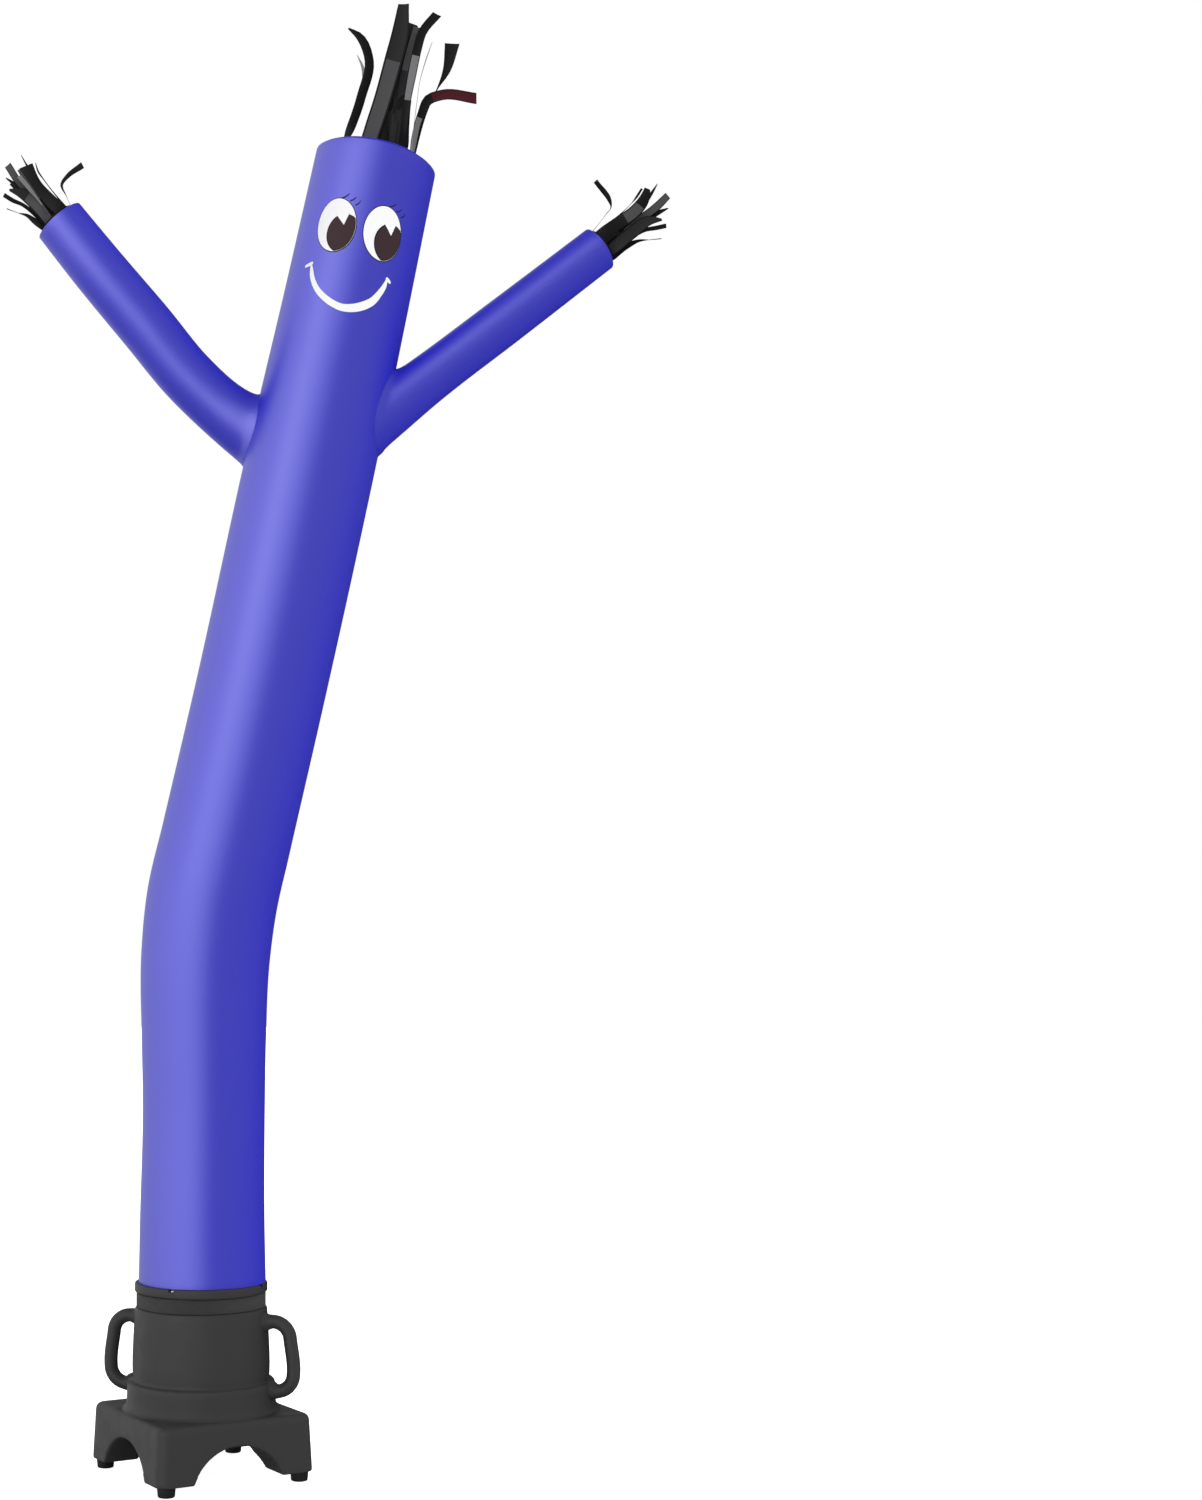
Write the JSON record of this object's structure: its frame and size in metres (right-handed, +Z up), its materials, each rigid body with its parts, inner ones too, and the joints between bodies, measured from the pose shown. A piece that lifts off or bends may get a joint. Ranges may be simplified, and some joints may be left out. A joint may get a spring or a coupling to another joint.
{
  "type": "inflatable air dancer on its blower",
  "caption": "Tall blue cloth tube figure with raised arms and black streamers, blown up by the black moulded blower that it stands on",
  "frame": {"origin": "centre of the underside of the whole object's box, on the floor", "axes": "+Z up; the figure faces -Y and its arms and lean lie in the XZ plane, leaning to +X"},
  "size_m": [1.2136, 0.3986, 2.6779],
  "materials": {
    "cloth": "satin blue-violet ripstop cloth",
    "streamer": "satin black ribbon",
    "moulding": "fine matt moulded plastic",
    "foot": "matt black rubber",
    "band": "hook-and-loop tape",
    "steel": "bright plated steel",
    "lens": "green rocker lens"
  },
  "bodies": {
    "dancer": {"body_tube": "cloth", "arm_left": "cloth", "arm_right": "cloth", "crown_panel": "cloth", "hand_left_panel": "cloth", "hand_right_panel": "cloth", "head_streamers": "streamer", "hand_left_streamers": "streamer", "hand_right_streamers": "streamer", "housing": "moulding", "base": "moulding", "handle_left": "moulding", "handle_right": "moulding", "cap_ring": "moulding", "control_cover": "moulding", "switch_bezel": "moulding", "foot_right": "foot", "foot_back": "foot", "foot_left": "foot", "foot_front": "foot", "outlet_guard": "steel", "gland_ring": "steel", "gland_nut": "steel", "ring_screw_1": "steel", "ring_screw_2": "steel", "ring_screw_3": "steel", "ring_screw_4": "steel", "cover_screw_1": "steel", "cover_screw_2": "steel", "cover_screw_3": "steel", "cover_screw_4": "steel", "hook_loop_band": "band"},
    "rocker": {"switch_rocker": "lens"}
  },
  "joints": [
    {"name": "rocker_hinge", "type": "hinge", "parent": "dancer", "child": "rocker", "pos_m": [-0.1972, 0.1566, 0.2105], "axis": [0, 0, 1], "range_deg": [0, 14]}
  ]
}
